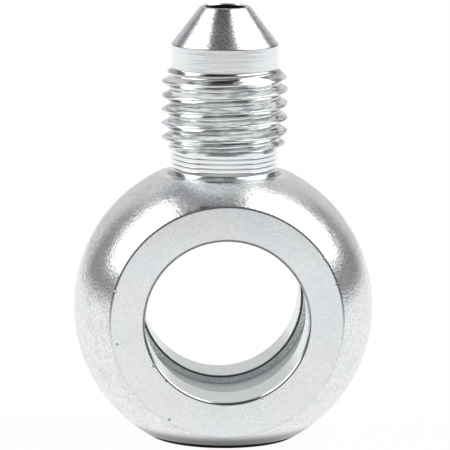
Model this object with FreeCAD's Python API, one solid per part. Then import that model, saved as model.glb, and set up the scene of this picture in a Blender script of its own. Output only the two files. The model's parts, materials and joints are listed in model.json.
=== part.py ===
import FreeCAD, Part
import math
import os

# Banjo fitting: one steel body, a ball-shaped eye with a flared-tube stem on top.
# The origin is where the bore's axis crosses the stem's. Z runs up the stem, Y through the eye.
# All sizes are in millimetres.

# The eye
BALL_D = 22.66
EYE_WALL = 5.23
EYE_WIDTH = 14.5
FACE_EDGE_BREAK = 0.1
BORE_BREAK = 0.15
GROOVE_WIDTH = 6.0
GROOVE_DEPTH = 0.6
GROOVE_BREAK = 0.2
FOOT_CUT = 1.38
FOOT_EDGE_R = 0.4

# The stem, from the top of the ball up
SHOULDER_WIDTH = 0.67
NECK_D = 8.06
NECK_CHAMFER = 0.3
NECK_LENGTH = 0.67
THREAD_LENGTH = 6.2
THREAD_MAJOR_D = 9.5
THREADS_PER_INCH = 24
THREAD_CHAMFER_DEG = 45
THREAD_START_DEG = 227
BAND_D = 8.06
BAND_LENGTH = 1.8
CONE_HALF_DEG = 37
NOSE_D = 3.75
NOSE_BREAK = 0.08
PASSAGE_D = 3.2
PASSAGE_BREAK = 0.1

# Proportions of the unified thread form, as shares of the pitch
INCH = 25.4
CREST_SHARE = 1 / 8
ROOT_SHARE = 1 / 6
FLANK_DEG = 30

# How far a cutting tool runs past the metal that it cuts
OVERRUN = 2.0
THREAD_TOOL_CLEAR = 0.04

ball_r = BALL_D / 2
bore_r = ball_r - EYE_WALL
half_width = EYE_WIDTH / 2
foot_drop = ball_r - FOOT_CUT
neck_top = ball_r + NECK_LENGTH
pitch = INCH / THREADS_PER_INCH
thread_top = neck_top + THREAD_LENGTH
cone_base = thread_top + BAND_LENGTH
nose_top = cone_base + (BAND_D - NOSE_D) / 2 / math.tan(math.radians(CONE_HALF_DEG))

UP = FreeCAD.Vector(0, 0, 1)
THROUGH = FreeCAD.Vector(0, 1, 0)
CENTRE = FreeCAD.Vector(0, 0, 0)


def at(r, z):
    """A point of the turned outline, r out from the stem's axis and z up it."""
    return FreeCAD.Vector(r, 0, z)


def line(a, b):
    return Part.LineSegment(a, b).toShape()


def round_on(centre, radius, a, b):
    """The short arc of the given centre and radius from a to b."""
    toward = (a + b) * 0.5 - centre
    toward.normalize()
    return Part.Arc(a, centre + toward * radius, b).toShape()


def foot_arc_centre():
    """Centre of the rounding that joins the foot's flat to the ball from inside."""
    z = FOOT_EDGE_R - foot_drop
    return at(math.sqrt((ball_r - FOOT_EDGE_R) ** 2 - z**2), z)


def turned_outline():
    """Half of the section through the stem's axis, as it leaves the lathe, before the holes."""
    foot = foot_arc_centre()
    foot_on_flat = at(foot.x, -foot_drop)
    foot_on_ball = foot * (ball_r / (ball_r - FOOT_EDGE_R))

    # The ball is turned flat round the neck, and the neck slopes out to that shoulder
    slope_r = NECK_D / 2 + NECK_CHAMFER
    shoulder_r = slope_r + SHOULDER_WIDTH
    shoulder_z = math.sqrt(ball_r**2 - shoulder_r**2)
    shoulder_on_ball = at(shoulder_r, shoulder_z)

    major_r = THREAD_MAJOR_D / 2
    slope = math.tan(math.radians(THREAD_CHAMFER_DEG))
    lower_run = (major_r - NECK_D / 2) * slope
    upper_run = (major_r - BAND_D / 2) * slope
    half_cone = math.radians(CONE_HALF_DEG)
    nose_in = at(NOSE_D / 2 - NOSE_BREAK, nose_top)
    nose_out = at(NOSE_D / 2 + NOSE_BREAK * math.sin(half_cone), nose_top - NOSE_BREAK * math.cos(half_cone))

    corners = [
        shoulder_on_ball,
        at(slope_r, shoulder_z),
        at(NECK_D / 2, shoulder_z + NECK_CHAMFER),
        at(NECK_D / 2, neck_top),
        at(major_r, neck_top + lower_run),
        at(major_r, thread_top - upper_run),
        at(BAND_D / 2, thread_top),
        at(BAND_D / 2, cone_base),
        nose_out,
        nose_in,
        at(0, nose_top),
        at(0, -foot_drop),
        foot_on_flat,
    ]
    edges = [line(a, b) for a, b in zip(corners, corners[1:])]
    edges += [
        round_on(foot, FOOT_EDGE_R, foot_on_flat, foot_on_ball),
        round_on(CENTRE, ball_r, foot_on_ball, shoulder_on_ball),
    ]
    return Part.Wire(edges)


def turned_blank():
    """Ball, neck, thread collar, band and cone in one piece of bar, turned about Z."""
    return Part.Face(turned_outline()).revolve(CENTRE, UP, 360)


def helix_path(radius, start, length):
    """A right-hand helix about the stem, one edge a turn, so that each turn is cut true."""
    edges = []
    for turn in range(math.ceil(length / pitch)):
        rise = min(pitch, length - turn * pitch)
        piece = Part.makeHelix(pitch, rise, radius)
        piece.translate(UP * (start + turn * pitch))
        edges += piece.Edges
    return Part.Wire(edges)


def thread_groove():
    """The helical groove of a right-hand outside thread, from clear air to clear air."""
    major_r = THREAD_MAJOR_D / 2
    lean = math.tan(math.radians(FLANK_DEG))
    root_half = pitch * ROOT_SHARE / 2
    crest_half = pitch * (1 - CREST_SHARE) / 2
    root_r = major_r - (crest_half - root_half) / lean
    clear_r = major_r + THREAD_TOOL_CLEAR
    clear_half = crest_half + THREAD_TOOL_CLEAR * lean
    outer_r = major_r + pitch / 2
    start = neck_top - pitch / 2
    corners = [
        at(root_r, start - root_half),
        at(clear_r, start - clear_half),
        at(outer_r, start - clear_half),
        at(outer_r, start + clear_half),
        at(clear_r, start + clear_half),
        at(root_r, start + root_half),
    ]
    profile = Part.makePolygon(corners + corners[:1])
    path = helix_path(major_r, start, THREAD_LENGTH + pitch)
    groove = path.makePipeShell([profile], True, True)
    groove.rotate(CENTRE, UP, THREAD_START_DEG)
    return groove


def eye_slab():
    """The space between the two milled faces of the eye."""
    reach = ball_r + nose_top + OVERRUN
    slab = Part.makeBox(2 * reach, EYE_WIDTH, 2 * reach)
    slab.translate(FreeCAD.Vector(-reach, -half_width, -reach))
    return slab


def edges_on_milled_faces(shape):
    """The edges that lie wholly in one of the two milled faces."""
    found = []
    for edge in shape.Edges:
        box = edge.BoundBox
        if box.YLength < 1e-6 and abs(abs(box.YMin) - half_width) < 1e-6:
            found.append(edge)
    return found


def eye_bore():
    """The cutter for the bore: its edges broken, and an oil groove round the middle."""
    groove_r = bore_r + GROOVE_DEPTH
    groove_half = GROOVE_WIDTH / 2
    flare = BORE_BREAK + OVERRUN
    outline = [
        (0, -half_width - OVERRUN),
        (bore_r + flare, -half_width - OVERRUN),
        (bore_r, -half_width + BORE_BREAK),
        (bore_r, -groove_half - GROOVE_BREAK),
        (bore_r + GROOVE_BREAK, -groove_half),
        (groove_r, -groove_half),
        (groove_r, groove_half),
        (bore_r + GROOVE_BREAK, groove_half),
        (bore_r, groove_half + GROOVE_BREAK),
        (bore_r, half_width - BORE_BREAK),
        (bore_r + flare, half_width + OVERRUN),
        (0, half_width + OVERRUN),
    ]
    points = [FreeCAD.Vector(r, y, 0) for r, y in outline]
    wire = Part.makePolygon(points + points[:1])
    return Part.Face(wire).revolve(CENTRE, THROUGH, 360)


def flow_passage():
    """The drilling down the stem, from the nose into the bore, its upper edge broken."""
    passage_r = PASSAGE_D / 2
    outline = [
        at(0, 0),
        at(passage_r, 0),
        at(passage_r, nose_top - PASSAGE_BREAK),
        at(passage_r + PASSAGE_BREAK + OVERRUN, nose_top + OVERRUN),
        at(0, nose_top + OVERRUN),
    ]
    wire = Part.makePolygon(outline + outline[:1])
    return Part.Face(wire).revolve(CENTRE, UP, 360)


def banjo_body():
    """The whole fitting: turned, threaded, milled flat on two sides, bored and drilled."""
    body = turned_blank().cut(thread_groove())
    body = body.common(eye_slab())
    body = body.makeChamfer(FACE_EDGE_BREAK, edges_on_milled_faces(body))
    body = body.cut(eye_bore())
    return body.cut(flow_passage())


os.makedirs("parts", exist_ok=True)
body = banjo_body()
body.Solids[0].exportStep("parts/banjo_body.step")
print("banjo_body", len(body.Solids), "solid", body.isValid(), round(body.Volume, 2), "mm3")
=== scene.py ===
import json
import math

import bmesh
import bpy
from bpy.props import FloatProperty, FloatVectorProperty, IntProperty, PointerProperty
from mathutils import Matrix, Vector


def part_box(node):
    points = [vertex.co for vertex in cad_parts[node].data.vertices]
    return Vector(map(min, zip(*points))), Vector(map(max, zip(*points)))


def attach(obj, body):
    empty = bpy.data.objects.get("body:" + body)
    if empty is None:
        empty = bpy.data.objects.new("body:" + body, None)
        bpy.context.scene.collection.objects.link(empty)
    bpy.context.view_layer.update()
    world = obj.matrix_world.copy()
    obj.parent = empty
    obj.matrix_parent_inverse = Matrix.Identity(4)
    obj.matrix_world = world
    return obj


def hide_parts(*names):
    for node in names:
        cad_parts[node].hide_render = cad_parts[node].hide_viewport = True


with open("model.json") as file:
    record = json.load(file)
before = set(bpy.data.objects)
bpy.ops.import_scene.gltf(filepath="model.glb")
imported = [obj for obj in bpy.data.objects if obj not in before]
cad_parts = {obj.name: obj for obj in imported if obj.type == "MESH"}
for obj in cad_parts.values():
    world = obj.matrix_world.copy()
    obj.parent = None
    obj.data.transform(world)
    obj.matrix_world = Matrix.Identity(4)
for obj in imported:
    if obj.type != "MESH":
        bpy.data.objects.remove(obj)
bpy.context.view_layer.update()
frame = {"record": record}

bl_info = {
    "name": "Banjo Fitting",
    "version": (1, 0, 0),
    "blender": (4, 5, 0),
    "location": "View3D > Sidebar > Banjo Fitting",
    "description": "Models a zinc-plated banjo fitting with a flared stem, and its studio stage",
    "category": "Add Mesh",
}

# Lengths are in metres, as everywhere in the file. These turn the drawing's units into them.
MM = 0.001
MICRON = 0.000001
INCH = 0.0254

CAD_NODE = "banjo_body"

LOWEST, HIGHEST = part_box(CAD_NODE)
MOUNTS = {mount["name"]: mount for mount in frame["record"]["mounts"]}

STEM_AXIS = Vector((0, 0, 1))
BORE_AXIS = Vector((0, 1, 0))

# Points of a turned shape closer than this are one point
WELD = 0.0001 * MM
# Edges shorter than this come from cuts that meet almost in one point
SLIVER = 0.0005 * MM
# Round stretches of an outline turn by at most this between two points
ARC_STEP = math.radians(2.4)
WORN_STEP = math.radians(14)
FULL_TURN = math.tau
# The table lies this far under the foot, so that the two don't share one plane
FOOT_GAP = 0.01 * MM

# The camera: its sensor, the lens that fits the photograph, and the point that it looks at
SENSOR_WIDTH = 36
LENS_LENGTH = 343.04
CAMERA_AIM = Vector((0.1 * MM, 0, 6.17 * MM))

# The stage, in metres: the table's half size, the backdrop, the card behind the camera, and the strips
TABLE_REACH = 1.5
BACKDROP_PLACE = 0.5
BACKDROP_SET_BACK = 0.15
BACKDROP_BEND = 0.2
BACKDROP_RISE = 0.3
BACKDROP_REACH = 0.42
CARD_PLACE = -0.7
CARD_TOP = 0.26
CARD_REACH = 1.0
STRIP_HEIGHT = 0.55
STRIP_LEFT = -0.25
STRIP_RIGHT = 0.2
# Each strip's name, its near and far edge along Y, and its shade
STRIPS = (
    ("grey_strip", -0.5, -0.16, 0.26),
    ("black_strip", -0.16, 0.0, 0.02),
    ("pale_strip", 0.0, 0.4, 0.42),
)
# The softboxes: their width and length, and how far forward they lean
LAMP_WIDTH = 0.52
LAMP_LENGTH = 0.6
LAMP_LEAN = 0.03

# Knocks on the front: place across and above the bore's axis, and size, all in mm
FACE_KNOCKS = (
    (-8.37, 2.38, 0.17), (7.2, 4.86, 0.13), (8.16, 2.95, 0.12),
    (-8.18, -1.6, 0.1), (-4.26, -7.34, 0.12),
    (-5.42, -3.24, 0.14), (2.65, -5.68, 0.14), (-4.5, -4.42, 0.08),
)
# Dents in the thread's crests: turn round the stem in degrees, height in mm, and size in mm
THREAD_KNOCKS = ((-87, 16.28, 0.15), (-70, 16.3, 0.1), (-100, 15.15, 0.08))


class FittingSizes(bpy.types.PropertyGroup):
    """The sizes of the fitting, as the lathe and the mill leave them"""

    ball_radius: FloatProperty(
        name="Ball radius", description="Radius of the ball-shaped eye",
        default=HIGHEST.x, unit="LENGTH")
    eye_width: FloatProperty(
        name="Eye width", description="Distance between the two milled faces",
        default=HIGHEST.y - LOWEST.y, unit="LENGTH")
    face_edge: FloatProperty(
        name="Face edge", description="Radius of the worn edge between a milled face and the ball",
        default=0.17 * MM, unit="LENGTH")
    bore_radius: FloatProperty(
        name="Bore radius", description="Radius of the hole for the hollow bolt",
        default=MOUNTS["eye_bore"]["dims"]["r_mm"] * MM, unit="LENGTH")
    bore_break: FloatProperty(
        name="Bore break", description="Width of the broken edge at each end of the bore",
        default=0.15 * MM, unit="LENGTH")
    groove_width: FloatProperty(
        name="Groove width", description="Width of the oil groove round the middle of the bore",
        default=6.0 * MM, unit="LENGTH")
    groove_depth: FloatProperty(
        name="Groove depth", description="Depth of the oil groove",
        default=0.6 * MM, unit="LENGTH")
    groove_break: FloatProperty(
        name="Groove break", description="Width of the broken edges of the oil groove",
        default=0.2 * MM, unit="LENGTH")
    foot_drop: FloatProperty(
        name="Foot drop", description="Distance from the bore's axis down to the foot",
        default=-LOWEST.z, unit="LENGTH")
    foot_edge: FloatProperty(
        name="Foot edge", description="Radius of the rounding between the foot and the ball",
        default=0.4 * MM, unit="LENGTH")
    neck_radius: FloatProperty(
        name="Neck radius", description="Radius of the stem below and above its thread",
        default=4.03 * MM, unit="LENGTH")
    neck_cone: FloatProperty(
        name="Neck cone", description="Width and height of the slope between the shoulder and the neck",
        default=0.3 * MM, unit="LENGTH")
    shoulder_radius: FloatProperty(
        name="Shoulder radius", description="Radius of the flat that is turned on the ball round the neck",
        default=5.0 * MM, unit="LENGTH")
    neck_length: FloatProperty(
        name="Neck length", description="Distance from the top of the ball up to the thread",
        default=0.67 * MM, unit="LENGTH")
    feed_pitch: FloatProperty(
        name="Feed pitch", description="Spacing of the tool marks round the neck",
        default=0.36 * MM, unit="LENGTH")
    feed_depth: FloatProperty(
        name="Feed depth", description="Depth of the tool marks round the neck",
        default=0.013 * MM, unit="LENGTH")
    thread_length: FloatProperty(
        name="Thread length", description="Length of the threaded collar, its chamfers included",
        default=6.2 * MM, unit="LENGTH")
    thread_radius: FloatProperty(
        name="Thread radius", description="Radius over the crests of the thread",
        default=4.75 * MM, unit="LENGTH")
    thread_pitch: FloatProperty(
        name="Thread pitch", description="Rise of the thread in one turn",
        default=INCH / 24, unit="LENGTH")
    thread_start: FloatProperty(
        name="Thread start", description="Where round the stem the thread's groove begins",
        default=math.radians(227), subtype="ANGLE")
    crest_round: FloatProperty(
        name="Crest rounding", description="Radius of the worn edges of the thread's crest",
        default=0.1 * MM, unit="LENGTH")
    band_length: FloatProperty(
        name="Band length", description="Length of the plain band above the thread",
        default=1.8 * MM, unit="LENGTH")
    cone_angle: FloatProperty(
        name="Cone angle", description="Half angle of the flare cone",
        default=math.radians(37), subtype="ANGLE")
    turned_edge: FloatProperty(
        name="Turned edge", description="Radius of the worn edges of the stem",
        default=0.14 * MM, unit="LENGTH")
    passage_radius: FloatProperty(
        name="Passage radius", description="Radius of the drilling down the stem",
        default=1.6 * MM, unit="LENGTH")
    passage_break: FloatProperty(
        name="Passage break", description="Width of the broken edge of the drilling",
        default=0.1 * MM, unit="LENGTH")
    turn_steps: IntProperty(
        name="Turn steps", description="Facets in one turn of a round surface",
        default=240, min=32)


class FittingFinish(bpy.types.PropertyGroup):
    """The colours and the gloss of the plated steel"""

    zinc: FloatVectorProperty(
        name="Zinc", description="Colour of the bright zinc plate",
        default=(0.85, 0.87, 0.87), size=3, min=0, max=1, subtype="COLOR")
    cool_tint: FloatVectorProperty(
        name="Cool tint", description="Colour where the film on the zinc looks bluish",
        default=(0.82, 0.84, 0.89), size=3, min=0, max=1, subtype="COLOR")
    warm_tint: FloatVectorProperty(
        name="Warm tint", description="Colour where the film on the zinc looks yellowish",
        default=(0.85, 0.865, 0.85), size=3, min=0, max=1, subtype="COLOR")
    bore_green: FloatVectorProperty(
        name="Bore green", description="Colour of the film in the bore where it looks greenish",
        default=(0.88, 0.94, 0.93), size=3, min=0, max=1, subtype="COLOR")
    bore_lilac: FloatVectorProperty(
        name="Bore lilac", description="Colour of the film in the bore where it looks lilac",
        default=(0.93, 0.92, 0.97), size=3, min=0, max=1, subtype="COLOR")
    # This dark film colour also serves as painted shade at the neck, a chamfer, an edge line, the tops of the
    # faces and above the foot.
    tarnish_and_shade: FloatVectorProperty(
        name="Tarnish", description="Colour of the metal where its film is dark",
        default=(0.07, 0.07, 0.072), size=3, min=0, max=1, subtype="COLOR")
    # The painted shade colour: painted shade and dark reflections laid into edges, corners, the passage, the
    # thread's flanks and the foot.
    painted_shade: FloatVectorProperty(
        name="Grime", description="Colour of the dirt in corners and roots",
        default=(0.02, 0.02, 0.021), size=3, min=0, max=1, subtype="COLOR")
    ball_roughness: FloatProperty(
        name="Ball roughness", description="Roughness of the ball's skin",
        default=0.24, min=0, max=1)
    face_roughness: FloatProperty(
        name="Face roughness", description="Roughness of the milled faces",
        default=0.3, min=0, max=1)
    stem_roughness: FloatProperty(
        name="Stem roughness", description="Roughness of the turned stem",
        default=0.14, min=0, max=1)
    flank_roughness: FloatProperty(
        name="Flank roughness", description="Roughness of the thread's flanks and root",
        default=0.14, min=0, max=1)
    bore_roughness: FloatProperty(
        name="Bore roughness", description="Roughness of the bore's wall",
        default=0.2, min=0, max=1)
    groove_roughness: FloatProperty(
        name="Groove roughness", description="Roughness of the oil groove",
        default=0.6, min=0, max=1)


class StageSettings(bpy.types.PropertyGroup):
    """The table, the light and the camera"""

    table: FloatVectorProperty(
        name="Table", description="Colour of the table",
        default=(0.93, 0.93, 0.93), size=3, min=0, max=1, subtype="COLOR")
    backdrop: FloatVectorProperty(
        name="Backdrop", description="Colour of the backdrop and the front card",
        default=(0.74, 0.74, 0.74), size=3, min=0, max=1, subtype="COLOR")
    glow: FloatProperty(
        name="White glow", description="How far the paper shows as plain white to the camera",
        default=0.97, min=0, max=1)
    table_sheen: FloatProperty(
        name="Table's glow in metal",
        description="How far the table shows as plain white in reflections",
        default=1.0, min=0, max=1)
    backdrop_sheen: FloatProperty(
        name="Backdrop's glow in metal",
        description="How far the backdrop shows as plain white in reflections",
        default=0.25, min=0, max=1)
    room: FloatVectorProperty(
        name="Room", description="Colour of the dim room round the table",
        default=(0.24, 0.24, 0.24), size=3, min=0, max=1, subtype="COLOR")
    lamp_radiance: FloatProperty(
        name="Lamp brightness", description="Brightness of the two softboxes, 1 being white",
        default=2.4, min=0)
    lamp_distance: FloatProperty(
        name="Lamp distance", description="Distance of the softboxes from the fitting",
        default=0.6, unit="LENGTH")
    lamp_shift: FloatProperty(
        name="Lamp shift", description="How far the softboxes and the strips hang to the right",
        default=-0.05, unit="LENGTH")
    camera_distance: FloatProperty(
        name="Camera distance", description="Distance of the camera from the middle of the ball",
        default=0.3262, unit="LENGTH")
    camera_height: FloatProperty(
        name="Camera elevation", description="Angle of the camera above the horizon",
        default=math.radians(10.61), subtype="ANGLE")
    camera_turn: FloatProperty(
        name="Camera azimuth", description="Angle of the camera round the fitting, from its front",
        default=math.radians(-2.45), subtype="ANGLE")
    camera_roll: FloatProperty(
        name="Camera roll", description="Lean of the camera",
        default=math.radians(0.438), subtype="ANGLE")


class Shade:
    """A socket of a material, which is reckoned with as if it were a number."""

    def __init__(self, tree, socket):
        self.tree = tree
        self.socket = socket

    def node(self, kind, settings, sockets, output=0):
        """Adds a node: first its settings, then a value or a link for each socket."""
        made = self.tree.nodes.new(kind)
        for name, value in settings.items():
            setattr(made, name, value)
        for name, value in sockets.items():
            if isinstance(value, Shade):
                self.tree.links.new(value.socket, made.inputs[name])
            else:
                made.inputs[name].default_value = value
        return Shade(self.tree, made.outputs[output])

    def math(self, operation, *values):
        return self.node("ShaderNodeMath", {"operation": operation}, dict(enumerate(values)))

    def __add__(self, other):
        return self.math("ADD", self, other)

    def __radd__(self, other):
        return self.math("ADD", other, self)

    def __sub__(self, other):
        return self.math("SUBTRACT", self, other)

    def __rsub__(self, other):
        return self.math("SUBTRACT", other, self)

    def __mul__(self, other):
        return self.math("MULTIPLY", self, other)

    def __rmul__(self, other):
        return self.math("MULTIPLY", other, self)

    def __truediv__(self, other):
        return self.math("DIVIDE", self, other)

    def __pow__(self, other):
        return self.math("POWER", self, other)

    def __abs__(self):
        return self.math("ABSOLUTE", self)

    def either(self, other):
        return self.math("MAXIMUM", self, other)

    def rise(self, low, high):
        """0 below low, 1 above high, and a soft step between them."""
        return self.node(
            "ShaderNodeMapRange", {"interpolation_type": "SMOOTHSTEP"},
            {"Value": self, "From Min": low, "From Max": high})

    def near(self, middle, reach):
        """1 at the middle value, falling softly to 0 at reach from it."""
        return 1 - abs(self - middle).rise(0, reach)

    def noise(self, grain, detail=2.0):
        """Noise on a place in space, its grain so many metres across, or (x, y, z) of them."""
        across = grain if isinstance(grain, tuple) else (grain, grain, grain)
        spread = self.node(
            "ShaderNodeVectorMath", {"operation": "MULTIPLY"},
            {0: self, 1: tuple(1 / length for length in across)})
        return self.node(
            "ShaderNodeTexNoise", {"noise_dimensions": "3D"},
            {"Vector": spread, "Scale": 1.0, "Detail": detail, "Roughness": 0.55})

    def coloured(self, colour, other):
        """A mix of two colours, with this value as the share of the second."""
        return self.node("ShaderNodeMix", {"data_type": "RGBA"}, {0: self, 6: colour, 7: other}, output=2)


def round_stretch(centre, radius, start, end, step_angle=ARC_STEP):
    """Points along an arc of an outline, its two ends included."""
    steps = max(3, math.ceil(abs(end - start) / step_angle))
    points = []
    for step in range(steps + 1):
        angle = start + (end - start) * step / steps
        points.append(centre + Vector((math.cos(angle), math.sin(angle))) * radius)
    return points


def worn_corner(before, corner, after, radius):
    """The points that replace a sharp corner of an outline by a small rounding."""
    back = (before - corner).normalized()
    ahead = (after - corner).normalized()
    half = back.angle(ahead) / 2
    centre = corner + (back + ahead).normalized() * radius / math.sin(half)
    reach = radius / math.tan(half)
    first = corner + back * reach - centre
    last = corner + ahead * reach - centre
    start = math.atan2(first.y, first.x)
    turn = math.remainder(math.atan2(last.y, last.x) - start, FULL_TURN)
    return round_stretch(centre, radius, start, start + turn, WORN_STEP)


def worn_outline(corners, radius):
    """An outline with each inner corner rounded, its two ends kept."""
    points = [corners[0]]
    for before, corner, after in zip(corners, corners[1:], corners[2:]):
        points += worn_corner(before, corner, after, radius)
    points.append(corners[-1])
    return points


def feed_marks(radius, first, last, pitch, depth):
    """Shallow tool marks round a straight stretch of the stem, from its lower to its upper end."""
    half_width = depth * 2.6
    points = []
    for mark in range(int((last - first) / pitch)):
        height = first + pitch * (mark + 0.5)
        points.append(Vector((radius, height - half_width)))
        points.append(Vector((radius - depth, height)))
        points.append(Vector((radius, height + half_width)))
    return points


def blank_outline(sizes):
    """Half of the lathe's outline, from the foot round to the passage, in (radius, height)."""
    ball = sizes.ball_radius
    edge = sizes.foot_edge
    foot_z = edge - sizes.foot_drop
    foot = Vector((math.sqrt((ball - edge) ** 2 - foot_z**2), foot_z))
    foot_angle = math.atan2(foot.y, foot.x)

    shoulder_z = math.sqrt(ball**2 - sizes.shoulder_radius**2)
    neck_low = shoulder_z + sizes.neck_cone
    ball_end = math.atan2(shoulder_z, sizes.shoulder_radius) - math.radians(1.2)

    thread_low = ball + sizes.neck_length
    thread_high = thread_low + sizes.thread_length
    chamfer = sizes.thread_radius - sizes.neck_radius
    band_top = thread_high + sizes.band_length
    nose_top = HIGHEST.z
    nose_r = sizes.neck_radius - (nose_top - band_top) * math.tan(sizes.cone_angle)
    passage_end = sizes.bore_radius / 2

    upon_ball = round_stretch(Vector((0, 0)), ball, foot_angle, ball_end)
    shoulder = worn_outline([
        upon_ball[-1],
        Vector((sizes.shoulder_radius, shoulder_z)),
        Vector((sizes.neck_radius + sizes.neck_cone, shoulder_z)),
        Vector((sizes.neck_radius, neck_low)),
        Vector((sizes.neck_radius, neck_low + sizes.neck_cone)),
    ], sizes.turned_edge)
    stem = [
        Vector((sizes.neck_radius, thread_low)),
        Vector((sizes.thread_radius, thread_low + chamfer)),
        Vector((sizes.thread_radius, thread_high - chamfer)),
        Vector((sizes.neck_radius, thread_high)),
        Vector((sizes.neck_radius, band_top)),
        Vector((nose_r, nose_top)),
    ]
    passage = [
        Vector((sizes.passage_radius + sizes.passage_break, nose_top)),
        Vector((sizes.passage_radius, nose_top - sizes.passage_break)),
        Vector((sizes.passage_radius, passage_end)),
        Vector((0, passage_end)),
    ]

    points = [Vector((0, -sizes.foot_drop))]
    points += round_stretch(foot, edge, -math.pi / 2, foot_angle)
    points += upon_ball[1:-1]
    points += shoulder[:-1]
    points += feed_marks(
        sizes.neck_radius, neck_low + 0.06 * MM, thread_low, sizes.feed_pitch, sizes.feed_depth)
    points += worn_outline(stem + passage[:1], sizes.turned_edge)
    points += passage[1:]
    return points


def eye_outline(sizes):
    """The closed outline, in (radius, place along the bore), of all that the mill and the bore leave."""
    half = sizes.eye_width / 2
    bore = sizes.bore_radius
    groove = bore + sizes.groove_depth
    groove_half = sizes.groove_width / 2
    broken = sizes.groove_break
    face_r = math.sqrt(sizes.ball_radius**2 - half**2)
    slope = math.acos(half / sizes.ball_radius) - math.radians(8)
    edge = sizes.face_edge
    edge_start = face_r - edge * math.tan(slope / 2)
    shoulder = Vector((edge_start, half - edge))
    worn = round_stretch(shoulder, edge, math.pi / 2, math.pi / 2 - slope)
    past_edge = worn[-1] + Vector((math.cos(slope), -math.sin(slope))) * edge
    clear = sizes.ball_radius * 3

    side = worn_outline([
        Vector((groove, 0)),
        Vector((groove, groove_half)),
        Vector((bore + broken, groove_half)),
        Vector((bore, groove_half + broken)),
        Vector((bore, half - sizes.bore_break)),
        Vector((bore + sizes.bore_break, half)),
        worn[0],
    ], 0.04 * MM)[1:-1]
    side += worn
    side += [past_edge, Vector((sizes.ball_radius, half + edge)), Vector((clear, half + edge))]
    other = [Vector((point.x, -point.y)) for point in reversed(side)]
    return side + other


def spun(name, outline, place, axis, steps, closed):
    """A mesh object made by turning an outline once round an axis."""
    shape = bmesh.new()
    corners = [shape.verts.new(place(point)) for point in outline]
    sides = [shape.edges.new(pair) for pair in zip(corners, corners[1:])]
    if closed:
        sides.append(shape.edges.new((corners[-1], corners[0])))
    bmesh.ops.spin(
        shape, geom=corners + sides, cent=(0, 0, 0), axis=axis, dvec=(0, 0, 0),
        angle=FULL_TURN, steps=steps, use_merge=True, use_duplicate=False)
    bmesh.ops.remove_doubles(shape, verts=shape.verts, dist=WELD)
    bmesh.ops.recalc_face_normals(shape, faces=shape.faces)
    return as_object(name, shape)


def as_object(name, shape):
    """A bmesh handed over to a new object of the scene."""
    mesh = bpy.data.meshes.new(name)
    shape.to_mesh(mesh)
    shape.free()
    made = bpy.data.objects.new(name, mesh)
    bpy.context.scene.collection.objects.link(made)
    return made


def turned_blank(sizes):
    """Ball, foot, shoulder, neck, collar, band, cone and passage, as the lathe leaves them."""
    def on_stem(point):
        return (point.x, 0, point.y)

    return spun("turned_blank", blank_outline(sizes), on_stem, STEM_AXIS, sizes.turn_steps, False)


def eye_envelope(sizes):
    """All the space that the milled faces and the bore leave standing."""
    def on_bore(point):
        return (point.x, point.y, 0)

    return spun("eye_envelope", eye_outline(sizes), on_bore, BORE_AXIS, sizes.turn_steps, True)


def groove_outline(sizes):
    """The outline of the thread's groove, in (radius, height from the groove's middle)."""
    pitch = sizes.thread_pitch
    lean = math.tan(math.radians(30))
    crest_half = pitch * 7 / 16
    root_half = pitch / 12
    top = sizes.thread_radius
    root = top - (crest_half - root_half) / lean
    round_r = root_half / lean
    outer = top + pitch / 2
    centre = Vector((root + round_r, 0))
    beyond = Vector((top, pitch / 2))
    upper = round_stretch(centre, round_r, math.pi, math.pi * 2 / 3, math.radians(20))
    upper += worn_corner(upper[-1], Vector((top, crest_half)), beyond, sizes.crest_round)
    upper.append(Vector((outer, upper[-1].y)))
    lower = [Vector((point.x, -point.y)) for point in reversed(upper[1:])]
    return lower + upper


def thread_groove(sizes):
    """The helical groove of a right-hand thread, as a solid to cut away."""
    steps_a_turn = sizes.turn_steps // 2
    start = sizes.ball_radius + sizes.neck_length - sizes.thread_pitch / 2
    turns = (sizes.thread_length + sizes.thread_pitch) / sizes.thread_pitch
    steps = math.ceil(turns * steps_a_turn)
    turned = Matrix.Rotation(sizes.thread_start, 3, STEM_AXIS)

    shape = bmesh.new()
    corners = []
    for point in groove_outline(sizes):
        corners.append(shape.verts.new(turned @ Vector((point.x, 0, start + point.y))))
    shape.faces.new(corners)
    bmesh.ops.spin(
        shape, geom=shape.verts[:] + shape.edges[:] + shape.faces[:], cent=(0, 0, 0),
        axis=STEM_AXIS, dvec=STEM_AXIS * sizes.thread_pitch / steps_a_turn,
        angle=FULL_TURN * steps / steps_a_turn, steps=steps, use_duplicate=False)
    bmesh.ops.recalc_face_normals(shape, faces=shape.faces)
    return as_object("thread_groove", shape)


def knocks(sizes):
    """The small dents of handling, as balls to cut away."""
    places = []
    for across, above, size in FACE_KNOCKS:
        places.append((Vector((across, 0, above)) * MM - BORE_AXIS * sizes.eye_width / 2, size * MM))
    for turn, height, size in THREAD_KNOCKS:
        out = Vector((sizes.thread_radius, 0, height * MM))
        places.append((Matrix.Rotation(math.radians(turn), 3, STEM_AXIS) @ out, size * MM))
    shape = bmesh.new()
    for place, size in places:
        bmesh.ops.create_icosphere(shape, subdivisions=2, radius=size, matrix=Matrix.Translation(place))
    return as_object("knocks", shape)


def cut(body, tool, operation):
    """Applies one tool to the body, and puts the tool away."""
    modifier = body.modifiers.new(tool.name, "BOOLEAN")
    modifier.operation = operation
    modifier.solver = "EXACT"
    modifier.object = tool
    depsgraph = bpy.context.evaluated_depsgraph_get()
    shaped = bpy.data.meshes.new_from_object(body.evaluated_get(depsgraph))
    body.modifiers.remove(modifier)
    blunt = body.data
    body.data = shaped
    bpy.data.meshes.remove(blunt)
    bpy.data.meshes.remove(tool.data)


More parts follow.
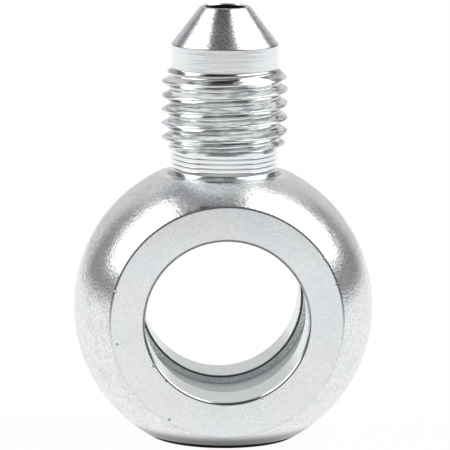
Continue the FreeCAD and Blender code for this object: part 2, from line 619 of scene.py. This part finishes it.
def cleaned(body):
    """Closes the hairline slits and drops the slivers that the cuts have left."""
    shape = bmesh.new()
    shape.from_mesh(body.data)
    bmesh.ops.remove_doubles(shape, verts=shape.verts, dist=SLIVER)
    bmesh.ops.dissolve_degenerate(shape, edges=shape.edges, dist=SLIVER)
    bmesh.ops.triangulate(shape, faces=[face for face in shape.faces if len(face.verts) > 4])
    bmesh.ops.recalc_face_normals(shape, faces=shape.faces)
    shape.to_mesh(body.data)
    shape.free()


def plated(name, finish, tints, paint):
    """A plated finish: paint gives the tints' mix, the dark film (partly painted shade), the painted shade,
    roughness, and height in microns.
    """
    material = bpy.data.materials.new(name)
    material.use_nodes = True
    shader = material.node_tree.nodes["Principled BSDF"]
    start = Shade(material.node_tree, None)
    place = start.node("ShaderNodeTexCoord", {}, {}, output=3)
    tint, tarnish_and_shade, painted_shade, roughness, height = paint(place)

    plain, high, low = [(*colour, 1) for colour in tints]
    zinc = tint.rise(0.5, 0.7).coloured(plain, high)
    zinc = (1 - tint.rise(0.3, 0.5)).coloured(zinc, low)
    # Both the dark film and the painted shade are laid over the zinc here.
    colour = painted_shade.coloured(tarnish_and_shade.coloured(zinc, (*finish.tarnish_and_shade, 1)), (*finish.painted_shade, 1))
    relief = start.node("ShaderNodeBump", {}, {"Strength": 1.0, "Distance": MICRON, "Height": height})
    shader.inputs["Specular IOR Level"].default_value = 0
    surface = {"Base Color": colour, "Metallic": 1 - painted_shade, "Roughness": roughness, "Normal": relief}
    for name, value in surface.items():
        material.node_tree.links.new(value.socket, shader.inputs[name])
    return material


def parts_of(place):
    """The three coordinates of a place."""
    return [place.node("ShaderNodeSeparateXYZ", {}, {0: place}, output=axis) for axis in range(3)]


def ball_skin(finish, sizes):
    """The skin of the ball: a soft orange peel, fine grain, a few pits, and painted shade at the face edges
    and near the foot.
    """
    half = sizes.eye_width / 2

    def paint(place):
        across, along, above = parts_of(place)
        peel = place.noise(0.6 * MM, 1.0)
        grain = place.noise(0.2 * MM, 2.0)
        pits = place.noise(0.5 * MM, 3.0).rise(0.68, 0.74)
        tint = place.noise(5 * MM, 2.0)
        blotch = place.noise(1.4 * MM, 3.0)
        # Painted shade: a dark line along each face edge, stronger towards the top.
        rim_shade = abs(along).rise(half - 0.12 * MM, half - 0.07 * MM) * (0.1 + 0.75 * above.rise(-2 * MM, 3 * MM))
        # Painted shade: the foot's lowest edge nearly black, and the ball just above it darkened, for the
        # shadow and dark reflection at the table.
        foot = 1 - above.rise(LOWEST.z + 0.28 * MM, LOWEST.z + 0.45 * MM)
        under = 1 - above.rise(LOWEST.z + 0.6 * MM, LOWEST.z + 1.7 * MM)
        marks = 0.5 * pits + 0.1 * blotch.rise(0.5, 0.75) + 0.2 * grain.rise(0.42, 0.68)
        tarnish_and_shade = marks.either(0.97 * under)
        painted_shade = rim_shade.either(0.98 * foot)
        roughness = finish.ball_roughness + 0.3 * (grain - 0.5) + 0.12 * (blotch - 0.5) + 0.2 * pits
        height = 13 * peel + 17 * grain - 4 * pits
        return tint, tarnish_and_shade, painted_shade, roughness, height

    return plated("ball_skin", finish, (finish.zinc, finish.cool_tint, finish.warm_tint), paint)


def milled_face(finish, sizes):
    """The two milled faces: satin, finely speckled, with faint marks of the cutter, and painted shade along
    their edges and towards the top.
    """
    half = sizes.eye_width / 2
    face_r = math.sqrt(sizes.ball_radius**2 - half**2)
    bore_r = sizes.bore_radius + sizes.bore_break

    def paint(place):
        across, along, above = parts_of(place)
        radius = (across * across + above * above) ** 0.5
        speckle = place.noise(0.1 * MM, 2.0)
        swirl = place.noise((0.5 * MM, 0.5 * MM, 0.08 * MM), 1.0)
        rings = place.node(
            "ShaderNodeTexNoise", {"noise_dimensions": "1D"},
            {"W": radius / (0.11 * MM) + 3 * swirl, "Scale": 1.0, "Detail": 1.0})
        cloud = place.noise(2.2 * MM, 3.0)
        # Painted shade: dark lines at the face's outer edge, stronger towards the top, and at the bore's
        # edge, stronger towards the bottom.
        outer = radius.near(face_r, 0.12 * MM) * (0.1 + 0.75 * above.rise(-2 * MM, 3 * MM))
        rim_lines_shade = outer.either((0.9 - 0.4 * above.rise(-2 * MM, 2 * MM)) * radius.near(bore_r, 0.07 * MM))
        # Painted shade: the face darkened towards its top, besides the real speckle.
        tarnish_and_shade = 0.06 * speckle.rise(0.44, 0.66) + 0.17 * above.rise(3 * MM, 9 * MM)
        roughness = finish.face_roughness + 0.3 * (speckle - 0.5) + 0.1 * (cloud - 0.5)
        height = 8 * speckle + 3 * rings
        return place.noise(6 * MM, 2.0), tarnish_and_shade, rim_lines_shade, roughness, height

    return plated("milled_face", finish, (finish.zinc, finish.cool_tint, finish.warm_tint), paint)


def turned_stem(finish, sizes):
    """The stem: bright, with the fine rings of the lathe, and painted shade in the passage, as lines on the
    thread's flanks, and along a few edges.
    """
    root = sizes.thread_radius - 0.5 * MM
    slope_end = sizes.neck_radius + sizes.neck_cone
    neck_low = math.sqrt(sizes.ball_radius**2 - sizes.shoulder_radius**2) + sizes.neck_cone
    thread_low = sizes.ball_radius + sizes.neck_length
    band_low = thread_low + sizes.thread_length
    band_top = band_low + sizes.band_length
    start = thread_low - sizes.thread_start / FULL_TURN * sizes.thread_pitch

    def paint(place):
        across, along, above = parts_of(place)
        radius = (across * across + along * along) ** 0.5
        rings = place.noise((2.5 * MM, 2.5 * MM, 0.18 * MM), 2.0)
        streaks = place.noise((2.2 * MM, 2.2 * MM, 0.15 * MM), 2.0)
        speckle = place.noise(0.15 * MM, 2.0)
        # Painted shade: the inside of the passage painted black.
        passage = 1 - radius.rise(sizes.passage_radius, sizes.passage_radius + 0.03 * MM)
        threaded = above.rise(thread_low - 0.1 * MM, thread_low + 0.3 * MM)
        threaded = threaded * (1 - above.rise(band_low - 0.9 * MM, band_low - 0.7 * MM))
        flanks = threaded * radius.rise(root, root + 0.09 * MM)
        turn = across.math("ARCTAN2", along, across) / FULL_TURN
        climb = across.math("FRACT", (above - start) / sizes.thread_pitch - turn)
        # Painted shade: thin dark lines on the thread's flanks just below each crest, standing in for dark
        # reflections.
        under_crest_shade = flanks * climb.near(0.5, 0.13)
        cone = above.rise(band_top - 0.02 * MM, band_top + 0.06 * MM)
        # Painted shade: a dark line where the band meets the cone, the slope at the neck's base and the
        # thread's upper chamfer darkened.
        base_edge_shade = above.near(band_top + 0.02 * MM, 0.07 * MM)
        neck_base_shade = 1 - radius.rise(slope_end - 0.02 * MM, slope_end + 0.04 * MM)
        neck_base_shade = neck_base_shade * (1 - above.rise(neck_low, neck_low + 0.3 * MM))
        upper_slope_shade = above.near(band_low - 0.15 * MM, 0.35 * MM)
        # The cone speckle and thread streaks are real dark film; the rest is painted shade.
        tarnish_and_shade = (0.45 * neck_base_shade).either(0.5 * upper_slope_shade).either(0.45 * cone * speckle.rise(0.42, 0.6))
        tarnish_and_shade = tarnish_and_shade.either(0.5 * threaded * streaks.rise(0.48, 0.6)).either(0.6 * base_edge_shade)
        painted_shade = passage.either(0.95 * under_crest_shade)
        rough = finish.stem_roughness + (finish.flank_roughness - finish.stem_roughness) * threaded
        roughness = rough + 0.1 * (rings - 0.5) + 0.2 * cone * speckle
        height = 4 * rings + 16 * threaded * streaks + (1 + 3 * cone) * speckle
        return place.noise(3.5 * MM, 2.0), tarnish_and_shade, painted_shade, roughness, height

    return plated("turned_stem", finish, (finish.zinc, finish.cool_tint, finish.warm_tint), paint)


def bored_wall(finish, sizes):
    """The bore and its oil groove: long soft marks of the boring tool, with painted shade in the corners and
    along the bore's ends.
    """
    half = sizes.eye_width / 2
    corner = sizes.groove_width / 2
    lip_r = sizes.bore_radius + sizes.groove_break / 2
    floor_r = sizes.bore_radius + sizes.groove_depth

    def paint(place):
        across, along, above = parts_of(place)
        radius = (across * across + above * above) ** 0.5
        rings = place.noise((1.6 * MM, 0.07 * MM, 1.6 * MM), 2.0)
        speckle = place.noise(0.14 * MM, 2.0)
        side = abs(along)
        # Painted shade: dark lines in the oil groove's corners and along the bore's ends, the latter weaker
        # towards the top.
        lip_shade = radius.near(lip_r, 0.13 * MM) * side.near(corner + 0.1 * MM, 0.2 * MM)
        floor_shade = radius.near(floor_r, 0.09 * MM) * side.near(corner, 0.1 * MM)
        rim_shade = side.rise(half - 0.08 * MM, half - 0.05 * MM) * (1 - 0.4 * above.rise(-2 * MM, 2 * MM))
        grooved = radius.rise(floor_r - 0.5 * MM, floor_r - 0.3 * MM)
        # Painted light: the lands get a little dark film that the groove does not, so the shaded groove shows
        # lighter; the speckle is real.
        marks = 0.16 - 0.16 * grooved + 0.1 * speckle.rise(0.44, 0.66)
        painted_shade = (0.97 * lip_shade).either(0.6 * floor_shade).either(0.9 * rim_shade)
        rough = finish.bore_roughness + (finish.groove_roughness - finish.bore_roughness) * grooved
        roughness = rough + 0.12 * (rings - 0.5) + 0.1 * (speckle - 0.5)
        height = 1.1 * rings + 1.2 * speckle
        return place.noise(2.6 * MM, 2.0), marks, painted_shade, roughness, height

    return plated("bored_wall", finish, (finish.bore_green, finish.bore_lilac, finish.bore_green), paint)


def finish_of(face, sizes):
    """Which finish a face of the body has: 0 ball, 1 milled, 2 turned, 3 bored."""
    middle = face.center
    slack = 0.05 * MM
    face_y = sizes.eye_width / 2
    bore_end = sizes.bore_radius - 1 * MM
    groove_r = sizes.bore_radius + sizes.groove_depth
    shoulder_z = math.sqrt(sizes.ball_radius**2 - sizes.shoulder_radius**2)
    from_stem = math.hypot(middle.x, middle.y)
    if from_stem < sizes.passage_radius + slack and middle.z > bore_end:
        return 2
    if math.hypot(middle.x, middle.z) < groove_r + slack and abs(face.normal.y) < 0.95:
        return 3
    if abs(face.normal.y) > 0.9 and abs(middle.y) > face_y - slack:
        return 1
    if from_stem < sizes.shoulder_radius and middle.z > shoulder_z - slack:
        return 2
    return 0


class BANJO_OT_body(bpy.types.Operator):
    """Model the fitting: turned, threaded, milled, bored and plated"""

    bl_idname = "banjo.body"
    bl_label = "Banjo body"

    def execute(self, context):
        sizes = context.scene.banjo_sizes
        finish = context.scene.banjo_finish
        body = turned_blank(sizes)
        cut(body, thread_groove(sizes), "DIFFERENCE")
        cut(body, eye_envelope(sizes), "INTERSECT")
        cut(body, knocks(sizes), "DIFFERENCE")
        cleaned(body)
        body.name = "fitting_body"
        body.data.name = "fitting_body"
        body.data.materials.clear()
        for material in (ball_skin(finish, sizes), milled_face(finish, sizes), turned_stem(finish, sizes),
                         bored_wall(finish, sizes)):
            body.data.materials.append(material)
        for face in body.data.polygons:
            face.material_index = finish_of(face, sizes)
        body.data.shade_smooth()
        body.data.set_sharp_from_angle(angle=math.radians(32))
        weigh = body.modifiers.new("Even shading", "WEIGHTED_NORMAL")
        weigh.keep_sharp = True
        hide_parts(CAD_NODE)
        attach(body, "root")
        return {"FINISHED"}


def paper(name, colour, glow, sheen):
    """Matt paper, which the camera and the metal see partly as plain white."""
    material = bpy.data.materials.new(name)
    material.use_nodes = True
    tree = material.node_tree
    shader = tree.nodes["Principled BSDF"]
    shader.inputs["Base Color"].default_value = (*colour, 1)
    shader.inputs["Roughness"].default_value = 1
    shader.inputs["Specular IOR Level"].default_value = 0
    start = Shade(tree, None)
    seen = start.node("ShaderNodeLightPath", {}, {}, output="Is Camera Ray")
    mirrored = start.node("ShaderNodeLightPath", {}, {}, output="Is Glossy Ray")
    through = start.node("ShaderNodeLightPath", {}, {}, output="Is Transmission Ray")
    white = start.node("ShaderNodeEmission", {}, {"Color": (1, 1, 1, 1), "Strength": 1.0})
    share = (glow * seen).either(sheen * mirrored).either(glow * through)
    blend = start.node("ShaderNodeMixShader", {}, {0: share, 1: Shade(tree, shader.outputs[0]), 2: white})
    tree.links.new(blend.socket, tree.nodes["Material Output"].inputs["Surface"])
    return material


def cloth(name, shade):
    """The matt grey of a strip that hangs between the softboxes."""
    material = bpy.data.materials.new(name)
    material.use_nodes = True
    shader = material.node_tree.nodes["Principled BSDF"]
    shader.inputs["Base Color"].default_value = (shade, shade, shade, 1)
    shader.inputs["Roughness"].default_value = 1
    shader.inputs["Specular IOR Level"].default_value = 0
    return material


def swept_sheet(name, outline, left, right, material):
    """A sheet of the stage, drawn from the side at its left edge and pulled out to its right."""
    shape = bmesh.new()
    corners = [shape.verts.new((left, point.x, point.y)) for point in outline]
    edges = [shape.edges.new(pair) for pair in zip(corners, corners[1:])]
    pulled = bmesh.ops.extrude_edge_only(shape, edges=edges)
    moved = [item for item in pulled["geom"] if isinstance(item, bmesh.types.BMVert)]
    bmesh.ops.translate(shape, verts=moved, vec=(right - left, 0, 0))
    bmesh.ops.recalc_face_normals(shape, faces=shape.faces)
    sheet = as_object(name, shape)
    sheet.data.materials.append(material)
    sheet.data.shade_smooth()


def softbox(name, stage, direction, width, length):
    """A large square lamp that looks at the fitting from one side."""
    lamp = bpy.data.lights.new(name, "AREA")
    lamp.shape = "RECTANGLE"
    lamp.size = width
    lamp.size_y = length
    lamp.energy = stage.lamp_radiance * math.pi * width * length
    holder = bpy.data.objects.new(name, lamp)
    holder.location = direction.normalized() * stage.lamp_distance
    holder.rotation_euler = holder.location.to_track_quat("Z", "Y").to_euler()
    holder.location.x += stage.lamp_shift
    bpy.context.scene.collection.objects.link(holder)


def aimed_camera(stage, aim):
    """The camera at the photograph's place and angle."""
    level = math.cos(stage.camera_height) * stage.camera_distance
    place = Vector((
        math.sin(stage.camera_turn) * level,
        -math.cos(stage.camera_turn) * level,
        math.sin(stage.camera_height) * stage.camera_distance,
    ))
    lens = bpy.data.cameras.new("camera")
    lens.sensor_width = SENSOR_WIDTH
    lens.lens = LENS_LENGTH
    camera = bpy.data.objects.new("camera", lens)
    camera.location = place
    look = (place - aim).to_track_quat("Z", "Y").to_matrix()
    camera.rotation_euler = (look @ Matrix.Rotation(stage.camera_roll, 3, "Z")).to_euler()
    bpy.context.scene.collection.objects.link(camera)
    bpy.context.scene.camera = camera


def dim_room(stage):
    """The room round the table: white behind the object for the camera, dim for all else."""
    world = bpy.data.worlds.new("room")
    world.use_nodes = True
    start = Shade(world.node_tree, None)
    seen = start.node("ShaderNodeLightPath", {}, {}, output="Is Camera Ray")
    colour = seen.coloured((*stage.room, 1), (1, 1, 1, 1))
    world.node_tree.links.new(colour.socket, world.node_tree.nodes["Background"].inputs["Color"])
    return world


class BANJO_OT_stage(bpy.types.Operator):
    """Set the table, the backdrop, the cards, the softboxes and the camera"""

    bl_idname = "banjo.stage"
    bl_label = "Studio stage"

    def execute(self, context):
        stage = context.scene.banjo_stage
        table = LOWEST.z - FOOT_GAP
        white = paper("white_paper", stage.table, stage.glow, stage.table_sheen)
        pale = paper("pale_paper", stage.backdrop, stage.glow, stage.backdrop_sheen)
        ground = [Vector((-TABLE_REACH, table)), Vector((TABLE_REACH, table))]
        swept_sheet("table", ground, -TABLE_REACH, TABLE_REACH, white)
        bend = Vector((BACKDROP_PLACE - BACKDROP_SET_BACK, BACKDROP_RISE))
        rise = [Vector((BACKDROP_PLACE, table))]
        rise += round_stretch(bend, BACKDROP_BEND, 0, math.radians(80))
        swept_sheet("backdrop", rise, -BACKDROP_REACH, BACKDROP_REACH, pale)
        card = [Vector((CARD_PLACE, table)), Vector((CARD_PLACE, CARD_TOP))]
        swept_sheet("front_card", card, -CARD_REACH, CARD_REACH, pale)
        left = stage.lamp_shift + STRIP_LEFT
        right = stage.lamp_shift + STRIP_RIGHT
        for name, near, far, shade in STRIPS:
            outline = [Vector((near, STRIP_HEIGHT)), Vector((far, STRIP_HEIGHT))]
            swept_sheet(name, outline, left, right, cloth(name, shade))
        for side, name in ((-1, "softbox_left"), (1, "softbox_right")):
            softbox(name, stage, Vector((side, LAMP_LEAN, 1)), LAMP_WIDTH, LAMP_LENGTH)
        context.scene.world = dim_room(stage)
        aimed_camera(stage, CAMERA_AIM)
        context.scene.view_settings.view_transform = "Standard"
        return {"FINISHED"}


class BANJO_PT_panel(bpy.types.Panel):
    """The fitting's sizes, finish and stage"""

    bl_idname = "BANJO_PT_panel"
    bl_label = "Banjo Fitting"
    bl_space_type = "VIEW_3D"
    bl_region_type = "UI"
    bl_category = "Banjo Fitting"

    def draw(self, context):
        scene = context.scene
        for settings in (scene.banjo_sizes, scene.banjo_finish, scene.banjo_stage):
            box = self.layout.box()
            for name in settings.__annotations__:
                box.prop(settings, name)
        for operator in (BANJO_OT_body, BANJO_OT_stage):
            self.layout.operator(operator.bl_idname)


CLASSES = (FittingSizes, FittingFinish, StageSettings, BANJO_OT_body, BANJO_OT_stage, BANJO_PT_panel)


def register():
    for item in CLASSES:
        bpy.utils.register_class(item)
    bpy.types.Scene.banjo_sizes = PointerProperty(type=FittingSizes)
    bpy.types.Scene.banjo_finish = PointerProperty(type=FittingFinish)
    bpy.types.Scene.banjo_stage = PointerProperty(type=StageSettings)


def unregister():
    del bpy.types.Scene.banjo_stage
    del bpy.types.Scene.banjo_finish
    del bpy.types.Scene.banjo_sizes
    for item in reversed(CLASSES):
        bpy.utils.unregister_class(item)


def main():
    register()
    bpy.ops.banjo.body()
    bpy.ops.banjo.stage()


if __name__ == "__main__":
    main()
